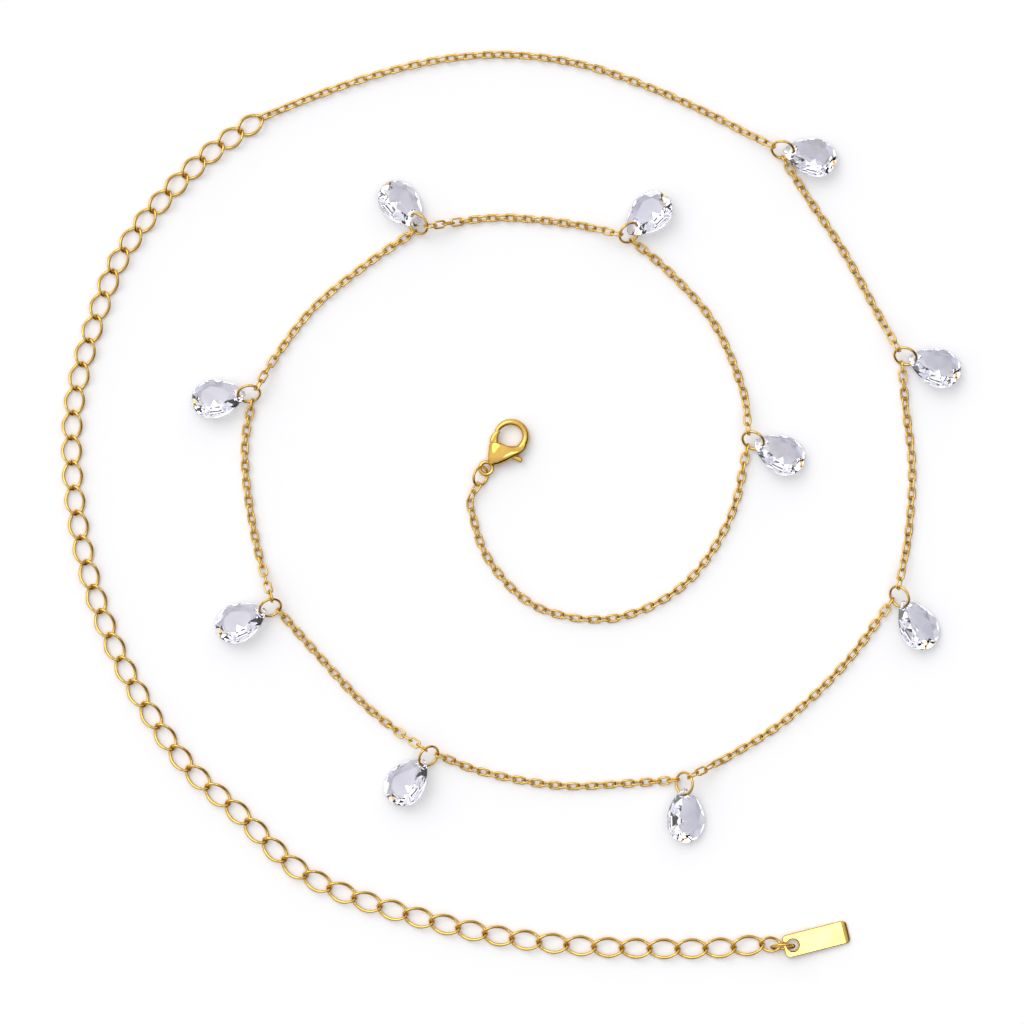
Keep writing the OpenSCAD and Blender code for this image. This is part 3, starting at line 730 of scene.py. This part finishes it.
def cut_drop(d):
    """A brilliant-cut pear on its tip at the origin, with its girdle round Z = 0."""
    outline = pear_outline(d, 48)
    centre = Vector((DROP_CENTRE * d.length, 0, 0))
    half = d.girdle / 2
    bm = prism(outline[::-1] if outline[1].y > 0 else outline, -half - d.pavilion, half + d.crown)

    def reach(a):
        return max((p - centre).dot(flat(a)) for p in outline)

    def grind(a, low_share, high_share, base, height):
        """A plane at direction a whose distance goes from low_share of the outline's at the girdle to
        high_share of it at the given height."""
        r = reach(a)
        normal = flat(a) * abs(height) + math.copysign(1, height) * UP * (low_share - high_share) * r
        facet(bm, centre + low_share * r * flat(a) + base * UP, normal.normalized())

    eighth = math.pi / 4
    for i in range(16):
        grind((i + 0.5) * eighth / 2, 1, 0.667, half, d.crown)
        grind((i + 0.5) * eighth / 2, 1, 0.3, -half, -d.pavilion)
    for i in range(8):
        grind(i * eighth, 1, 0.57, half, d.crown)
        grind(i * eighth, 1, 0.0, -half, -d.pavilion)
        grind((i + 0.5) * eighth, 0.527 + 0.68, 0.527, half, d.crown)
    bmesh.ops.remove_doubles(bm, verts=bm.verts, dist=0.002)
    bmesh.ops.recalc_face_normals(bm, faces=bm.faces)
    return bm


class WAISTCHAIN_OT_drops(ChainOperator, bpy.types.Operator):
    """Clear pear drops with cut facets, drilled near the tip"""

    bl_idname = "waist_chain.drops"
    bl_label = "Drops"

    def build(self, s, d, c):
        for k, ring in enumerate(drop_rings(s)):
            inset = d.hole_inset * ring.hole_share
            lean = math.asin((ring.middle.z - (d.girdle / 2 + d.pavilion) * math.cos(d.roll))
                             / (DROP_CENTRE * d.length - inset))
            matrix = (Matrix.Translation(ring.point(math.pi)) @ Matrix.Rotation(ring.heading, 4, "Z")
                      @ Matrix.Rotation(lean, 4, "Y") @ Matrix.Rotation(-ring.side_sign * d.roll, 4, "X")
                      @ Matrix.Translation((-inset, 0, 0)))
            # The hole is drilled along the ring's wire
            slant = ring.side_sign * (math.pi / 2 - s.ring_tilt - d.roll)
            hole = place_in(disc((0, 0), d.hole / 2, -d.width / 2, d.width / 2),
                            Matrix.Translation((inset, 0, 0)) @ Matrix.Rotation(-slant, 4, "X"))
            piece(f"cut_drop_{k + 1:02d}", place_in(cut_drop(d), matrix), crystal(),
                  [f"drop_{k + 1:02d}"], cutters=[place_in(hole, matrix)])


# Extender


class WAISTCHAIN_OT_extender(ChainOperator, bpy.types.Operator):
    """Extender of twisted curb links, which grow a little towards the tag"""

    bl_idname = "waist_chain.extender"
    bl_label = "Extender"

    def build(self, s, d, c):
        ext = Extender(s)
        links = []
        for i in range(s.ext_count):
            link = oval_loop(ext.link_len(i), s.ext_w, s.ext_wire, 28, 8, s.ext_twist)
            links.append(place_in(link, ext.link_frame(ext.joint(i), ext.joint(i + 1))))
        piece("curb_links", merged(*links), gold(), ["extender_chain"])


# Clasp

# Sections of the clasp's body: left edge, right edge, as shares of the hook's outside diameter, thickness as
# a share of the body's, and how round the right side is
BODY_SECTIONS = [
    (0.16, 0.05, 0.15, -0.11, 0.45, 0.9),
    (0.26, 0.13, 0.25, -0.21, 0.72, 0.8),
    (0.33, 0.18, 0.32, -0.26, 0.86, 0.7),
    (0.46, 0.25, 0.48, -0.35, 0.99, 0.6),
    (0.58, 0.31, 0.62, -0.42, 1, 0.55),
    (0.73, 0.32, 0.79, -0.5, 0.97, 0.5),
    (0.81, 0.1, 0.88, -0.54, 0.9, 0.5),
    (0.85, -0.08, 0.98, -0.57, 0.8, 0.5),
    (0.92, -0.22, 1.07, -0.58, 0.68, 0.6),
    (1.03, -0.33, 1.14, -0.57, 0.6, 0.8),
]


# Sections of the lever's tail: distance from the pin as a share of the hook's outside diameter, the
# directions of its two edges in degrees, and thickness as a share of the lever's
TAIL_SECTIONS = [
    (0.05, -130, 0, 0.9), (0.2, -80, -52, 1), (0.4, -77, -57, 1), (0.5, -77, -60, 1), (0.62, -77.5, -63.5, 1),
    (0.67, -77, -66, 0.95), (0.695, -75.5, -68, 0.7), (0.705, -73, -70.5, 0.25),
]


class Clasp:
    """The clasp's own frame: the eye's middle at the origin and the hook along X."""

    def __init__(self, c):
        self.c = c
        self.hook = Vector((c.length - c.hook_od / 2, -0.055 * c.hook_od, 0))
        self.start, self.tip = math.radians(-80), math.radians(98)
        self.pivot = c.hook_od * Vector((0.543, -0.025, 0))
        self.pivot_r = c.pin_d / 2 + 0.6
        self.seam = c.hook_od * Vector((0.64, 0.34, 0))
        self.seam_along = flat(math.radians(-54.4))
        self.seam_out = flat(math.radians(35.6))
        self.frame = (Matrix.Translation(EYE_PLACE + c.thickness / 2 * UP) @ Matrix.Rotation(c.heading, 4, "Z"))

    def wire(self, a):
        if a < 0:
            return self.c.hook_wire * (1 + 0.2 * (a / self.start) ** 2)
        return self.c.hook_wire * (1 - 0.28 * (a / self.tip) ** 3)

    def from_pivot(self, r, degrees):
        return self.pivot + r * flat(math.radians(degrees))

    def by_seam(self, along, out):
        return self.seam + along * self.seam_along + out * self.seam_out

    def sections(self):
        """Left edge, right edge and thickness of each section, from the neck to the hook's tip."""
        od = self.c.hook_od
        # The side with the lever's slot is squarer
        out = [(od * Vector((r[0], r[1], 0)), od * Vector((r[2], r[3], 0)), self.c.thickness * r[4], 0.83, r[5])
               for r in BODY_SECTIONS]
        for i in range(13):
            a = self.start + i * (self.tip - self.start) / 12
            w = self.wire(a)
            out.append((self.hook + (od / 2 - w) * flat(a), self.hook + od / 2 * flat(a), w, 1, 1))
        # The hook's end slants along the nose
        out.append((out[-1][0], self.hook + od / 2 * flat(self.tip + math.radians(8)), out[-1][2], 1, 1))
        return out


def smooth_rows(rows, steps):
    """Rows of vectors and numbers with smooth rows between them."""
    out = []
    for i in range(len(rows) - 1):
        p, q = rows[i], rows[i + 1]
        o, r = rows[max(i - 1, 0)], rows[min(i + 2, len(rows) - 1)]
        for j in range(steps):
            t = j / steps
            out.append(tuple(
                p[k] * (2 * t**3 - 3 * t * t + 1) + (q[k] - o[k]) / 2 * (t**3 - 2 * t * t + t)
                + q[k] * (3 * t * t - 2 * t**3) + (r[k] - p[k]) / 2 * (t**3 - t * t) for k in range(len(p))))
    return out + [rows[-1]]


def lofted(sections, sides):
    """A body through sections of left edge, right edge, thickness, and how round its left and right sides
    are, where 1 is an ellipse: one loop, extruded from section to section and closed at both ends."""
    bm = bmesh.new()
    loop = bmesh.ops.create_circle(bm, segments=sides, radius=1)["verts"]
    edges = bm.edges[:]
    angles = [math.atan2(v.co.y, v.co.x) for v in loop]

    def settle(verts, section):
        left, right, thickness, round_left, round_right = section
        for v, a in zip(verts, angles):
            power = round_left if math.cos(a) > 0 else round_right
            u = math.copysign(abs(math.cos(a)) ** power, math.cos(a))
            t = math.copysign(abs(math.sin(a)) ** power, math.sin(a))
            v.co = (left + right) / 2 + u * (left - right) / 2 + t * thickness / 2 * UP

    settle(loop, sections[0])
    bmesh.ops.contextual_create(bm, geom=edges)
    for section in sections[1:]:
        new = bmesh.ops.extrude_edge_only(bm, edges=edges)["geom"]
        edges = [e for e in new if isinstance(e, bmesh.types.BMEdge)]
        # Each new vertex sits on the old one that it came from
        verts = verts_in(new)
        loop = [min(verts, key=lambda v: (v.co - old.co).length) for old in loop]
        settle(loop, section)
    bmesh.ops.contextual_create(bm, geom=edges)
    bmesh.ops.recalc_face_normals(bm, faces=bm.faces)
    rounded(bm)
    return bm


class WAISTCHAIN_OT_clasp(ChainOperator, bpy.types.Operator):
    """Lobster clasp: a rounded body with its hook and eye, and the sprung lever"""

    bl_idname = "waist_chain.clasp"
    bl_label = "Clasp"

    def build(self, s, d, c):
        clasp = Clasp(c)
        gap, od = 0.08, c.hook_od
        slot = c.lever_t / 2 + gap
        body = lofted(smooth_rows(clasp.sections(), 3), 28)
        seam_cut = prism([clasp.by_seam(-1, 0), clasp.by_seam(3, 0), clasp.by_seam(3, 1.2),
                          clasp.by_seam(-1, 1.2)], -c.thickness, c.thickness)
        tongue_room = prism([clasp.pivot, clasp.from_pivot(0.55 * od, 13), clasp.from_pivot(0.55 * od, 69)],
                            -slot, slot)
        tail_room = prism([clasp.pivot, clasp.from_pivot(od, -102), clasp.from_pivot(od, -76),
                           clasp.from_pivot(od, -50)], -slot, slot)
        pin_room = disc(clasp.pivot, clasp.pivot_r + gap, -slot, slot)
        cutters = [place_in(bm, clasp.frame) for bm in (seam_cut, tongue_room, tail_room, pin_room)]
        piece("clasp_shell", place_in(body, clasp.frame), gold(), ["clasp_body"], cutters=cutters)
        eye = merged(ring_loop(c.eye_od, c.eye_wire, 40, 12),
                     disc(clasp.pivot, c.pin_d / 2, -0.4 * c.thickness, 0.4 * c.thickness, 24))
        piece("clasp_eye", place_in(eye, clasp.frame), gold(), ["clasp_body"])

        inner = od / 2 - clasp.wire(clasp.tip)
        nose_r = (clasp.hook + inner * flat(clasp.tip) - clasp.pivot).length - 0.12
        nose = lofted(smooth_rows([
            (clasp.by_seam(0, gap), clasp.by_seam(1.95, gap), c.nose_t, 0.6, 0.6),
            (od * Vector((0.72, 0.392, 0)), od * Vector((0.855, 0.2, 0)), c.nose_t, 0.6, 0.6),
            (od * Vector((0.86, 0.418, 0)), od * Vector((0.95, 0.262, 0)), 0.96 * c.nose_t, 0.6, 0.6),
            (clasp.from_pivot(nose_r - 0.12, 45), clasp.from_pivot(nose_r - 0.12, 30.5), 0.86 * c.nose_t,
             0.6, 0.6),
            (clasp.from_pivot(nose_r, 43.5), clasp.from_pivot(nose_r, 32), 0.7 * c.nose_t, 0.6, 0.6)], 4), 28)
        pr = 0.9 * clasp.pivot_r
        arm = prism([clasp.by_seam(1.8, gap), clasp.by_seam(1.8, gap + 0.5), clasp.by_seam(0.7, gap + 0.5),
                     clasp.by_seam(0.7, gap), clasp.from_pivot(pr, 64), clasp.from_pivot(pr, 160),
                     clasp.from_pivot(pr, 250), clasp.from_pivot(pr, -36), clasp.from_pivot(pr, 36)],
                    -c.lever_t / 2, c.lever_t / 2)
        tail = lofted(smooth_rows([
            (clasp.from_pivot(r * od, low), clasp.from_pivot(r * od, high), t * c.lever_t, 0.8, 0.8)
            for r, low, high, t in TAIL_SECTIONS], 3), 20)
        lever = merged(nose, arm, tail, disc(clasp.pivot, clasp.pivot_r, -c.lever_t / 2, c.lever_t / 2))
        pin_bore = disc(clasp.pivot, c.pin_d / 2 + 0.05, -c.lever_t, c.lever_t)
        piece("clasp_thumb_lever", place_in(lever, clasp.frame), gold(), ["clasp_lever"],
              body=LEVER, cutters=[place_in(pin_bore, clasp.frame)])


# Tag


class WAISTCHAIN_OT_tag(ChainOperator, bpy.types.Operator):
    """Plain tag with its jump ring and the small link before it"""

    bl_idname = "waist_chain.tag"
    bl_label = "Tag"

    def build(self, s, d, c):
        ext = Extender(s)
        start = ext.joint(s.ext_count)
        end = start + loop_pitch(c.tag_link_len, c.tag_link_wire)
        link = oval_loop(c.tag_link_len, c.tag_link_w, c.tag_link_wire, 28, 10, s.ext_twist)
        piece("tag_curb_link", place_in(link, ext.link_frame(start, end)), gold(), ["tag_link"])

        r = (c.tag_ring_od - c.tag_ring_wire) / 2
        lean, heading, past, right = math.radians(76), math.radians(2), 0.38, 0.2
        along = flat(heading)
        rise = math.cos(lean) * flat(heading + math.pi / 2) + math.sin(lean) * UP
        middle = (ext.place(end + c.tag_link_wire / 2 + PIECE_GAP / 2 + past)
                  + right * flat(heading - math.pi / 2))
        middle.z = r * math.sin(lean) + c.tag_ring_wire / 2
        piece("tag_jump_ring", place_in(ring_loop(c.tag_ring_od, c.tag_ring_wire),
                                        frame_at(middle, along, along.cross(rise))),
              gold(), ["tag_ring"])

        lift = c.tag_ring_wire + 3 * PIECE_GAP
        pitch = math.asin(lift / (c.tag_len - c.tag_bridge))
        tag_start = c.tag_link_wire / 2 + 0.25 - past
        matrix = (Matrix.Translation((middle.x, middle.y, 0)) @ Matrix.Rotation(c.tag_heading, 4, "Z")
                  @ Matrix.Translation((tag_start, -0.35, c.tag_len * math.sin(pitch)))
                  @ Matrix.Rotation(pitch, 4, "Y"))
        plate = bmesh.new()
        bmesh.ops.create_grid(plate, x_segments=1, y_segments=1, size=0.5)
        bmesh.ops.transform(plate, verts=plate.verts, matrix=Matrix.Translation((c.tag_len / 2, 0, 0))
                            @ Matrix.Diagonal((c.tag_len, c.tag_w, 1, 1)))
        bmesh.ops.bevel(plate, geom=plate.verts[:], offset=c.tag_corner, segments=8, profile=0.5,
                        affect="VERTICES", material=-1)
        top = bmesh.ops.extrude_face_region(plate, geom=plate.faces[:])["geom"]
        bmesh.ops.translate(plate, vec=(0, 0, c.tag_t), verts=verts_in(top))
        bmesh.ops.recalc_face_normals(plate, faces=plate.faces)
        rims = [e for e in plate.edges if abs(e.verts[0].co.z - e.verts[1].co.z) < 0.01]
        bmesh.ops.bevel(plate, geom=rims, offset=0.24, segments=4, profile=0.5, affect="EDGES", material=-1)
        # The far end curves down
        curve, cuts = 1.5, 9
        for i in range(cuts):
            bmesh.ops.bisect_plane(plate, geom=plate.verts[:] + plate.edges[:] + plate.faces[:], dist=1e-4,
                                   plane_co=(c.tag_len - curve * (1 - i / cuts), 0, 0), plane_no=(1, 0, 0))
        for v in plate.verts:
            v.co.z *= 1 - 0.5 * max(v.co.x / curve - c.tag_len / curve + 1, 0) ** 2
        hole_x, hole_r = c.tag_bridge + c.tag_hole / 2, c.tag_hole / 2
        hole = disc((hole_x, 0), hole_r, -1, c.tag_t + 1, 48)
        rim = bmesh.new()
        bmesh.ops.create_cone(rim, cap_ends=True, segments=48, radius1=hole_r - 0.1, radius2=hole_r + 0.5,
                              depth=0.6, matrix=Matrix.Translation((hole_x, 0, c.tag_t)))
        tag_piece = piece("plain_tag", place_in(plate, matrix), gold(), ["tag"],
                          cutters=[place_in(hole, matrix), place_in(rim, matrix)])
        smooth_flats(tag_piece)


# Stage

# The studio's brightness by the cosine from its brightest direction
SKY_BRIGHTEST = Vector((-0.42, 0.46, 0.78)).normalized()
SKY = ((0, 0.005), (0.08, 0.04), (0.2, 0.15), (0.4, 0.24), (0.7, 0.3), (0.9, 0.34), (0.935, 0.85))
SKY_STRENGTH = 3.3
# Half the floor's side in millimetres
FLOOR_HALF = 4000


class WAISTCHAIN_OT_stage(ChainOperator, bpy.types.Operator):
    """White surface, soft light from the upper left, and the camera straight above"""

    bl_idname = "waist_chain.stage"
    bl_label = "Stage"

    def build(self, s, d, c):
        scene = bpy.context.scene
        floor = bmesh.new()
        bmesh.ops.create_grid(floor, x_segments=1, y_segments=1, size=FLOOR_HALF)
        floor_ob = add_object("surface", floor)
        material, tree, shader = new_material("matt_white_board")
        coords = add_node(tree, "ShaderNodeTexCoord").outputs["Object"]
        grain = add_node(tree, "ShaderNodeTexNoise", Vector=coords, Scale=1 / (1.5 * MM))
        shader.inputs["Base Color"].default_value = linear("#FBFBFB")
        bump = add_node(tree, "ShaderNodeBump", Strength=0.02, Distance=0.02 * MM, Height=grain.outputs["Fac"])
        tree.links.new(bump.outputs["Normal"], shader.inputs["Normal"])
        shader.inputs["Roughness"].default_value = 0.9
        shader.inputs["Specular IOR Level"].default_value = 0.1
        floor_ob.data.materials.append(material)

        world = bpy.data.worlds.new("studio")
        world.use_nodes = True
        scene.world = world
        tree = world.node_tree
        tree.nodes.clear()
        coords = add_node(tree, "ShaderNodeTexCoord").outputs["Generated"]
        # Bright above the upper left, dark low down at the lower right
        toward = add_node(tree, "ShaderNodeVectorMath", {"operation": "DOT_PRODUCT"}, _0=coords,
                          _1=SKY_BRIGHTEST)
        ramp = add_node(tree, "ShaderNodeValToRGB", Fac=toward.outputs["Value"])
        elements = ramp.color_ramp.elements
        while len(elements) < len(SKY):
            elements.new(0.5)
        for element, (position, value) in zip(elements, SKY):
            element.position, element.color = position, (value, value, value * 1.02, 1)
        back = add_node(tree, "ShaderNodeBackground", Color=ramp.outputs["Color"], Strength=SKY_STRENGTH)
        add_node(tree, "ShaderNodeOutputWorld", Surface=back.outputs["Background"])

        data = bpy.data.lights.new("softbox", "AREA")
        data.size, data.energy = 0.3, 1.15
        lamp = bpy.data.objects.new("softbox", data)
        lamp.location = (0.35, -0.17, 1.4)
        lamp.rotation_euler = (-lamp.location).to_track_quat("-Z", "Y").to_euler()
        scene.collection.objects.link(lamp)

        lens = 200
        view_width = 232.7 * MM
        camera = bpy.data.cameras.new("camera")
        camera.lens = lens
        camera_ob = bpy.data.objects.new("camera", camera)
        camera_ob.location = (0.28 * MM, -1.56 * MM, view_width * lens / camera.sensor_width)
        scene.collection.objects.link(camera_ob)
        scene.camera = camera_ob
        scene.view_settings.view_transform = "Standard"


STEPS = (WAISTCHAIN_OT_fine_chain, WAISTCHAIN_OT_rings, WAISTCHAIN_OT_drops, WAISTCHAIN_OT_extender,
         WAISTCHAIN_OT_clasp, WAISTCHAIN_OT_tag, WAISTCHAIN_OT_stage)


class WAISTCHAIN_PT_panel(bpy.types.Panel):
    """Sizes, finishes and the steps that build the chain"""

    bl_label = "Waist Chain"
    bl_idname = "WAISTCHAIN_PT_panel"
    bl_space_type = "VIEW_3D"
    bl_region_type = "UI"
    bl_category = "Waist Chain"

    def draw(self, context):
        for group in GROUPS:
            values = getattr(context.scene, group)
            box = self.layout.box()
            for name in values.bl_rna.properties.keys():
                if name not in {"rna_type", "name"}:
                    box.prop(values, name)
        for step in STEPS:
            self.layout.operator(step.bl_idname)


GROUPS = {"waist_chain": ChainSizes, "waist_chain_drops": DropSizes, "waist_chain_clasp": ClaspSizes,
          "waist_chain_finishes": Finishes}


def register():
    for cls in (*GROUPS.values(), *STEPS, WAISTCHAIN_PT_panel):
        bpy.utils.register_class(cls)
    for name, cls in GROUPS.items():
        setattr(bpy.types.Scene, name, bpy.props.PointerProperty(type=cls))


def unregister():
    for name in GROUPS:
        delattr(bpy.types.Scene, name)
    for cls in reversed((*GROUPS.values(), *STEPS, WAISTCHAIN_PT_panel)):
        bpy.utils.unregister_class(cls)


def main():
    register()
    for step in STEPS:
        group, name = step.bl_idname.split(".")
        getattr(getattr(bpy.ops, group), name)()


if __name__ == "__main__":
    main()
